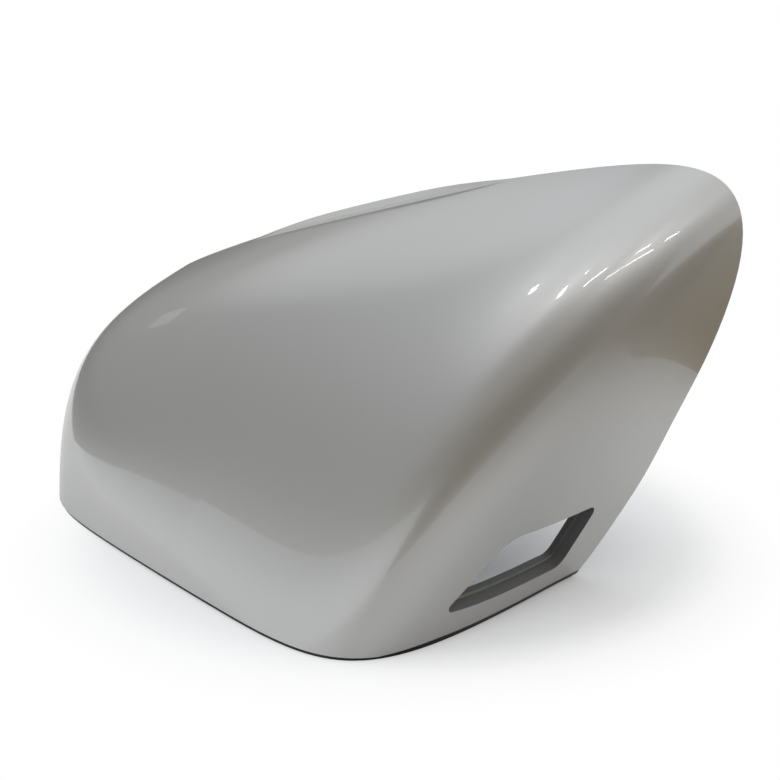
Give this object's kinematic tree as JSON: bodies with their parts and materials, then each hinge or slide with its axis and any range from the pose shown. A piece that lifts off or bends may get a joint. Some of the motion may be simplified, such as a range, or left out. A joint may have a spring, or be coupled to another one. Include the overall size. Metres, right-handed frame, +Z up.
{
  "type": "wing mirror cover",
  "caption": "Smooth one-piece wing mirror cover: a painted, doubly curved shell, open at its rim and seam, with a lamp window in the inner end and snap hooks inside.",
  "frame": {"origin": "middle of the overall box, on the plane of the rim that the cover lies on", "axes": "+X out of the inner end, towards the car; +Y towards the seam with the lower housing; +Z up from the rim, which is forwards when fitted"},
  "size_m": [0.2464, 0.107, 0.1174],
  "materials": {
    "cover": "gloss light warm grey paint outside, bare dark grey plastic inside"
  },
  "bodies": {
    "root": {"cover_shell": "cover"}
  },
  "joints": []
}
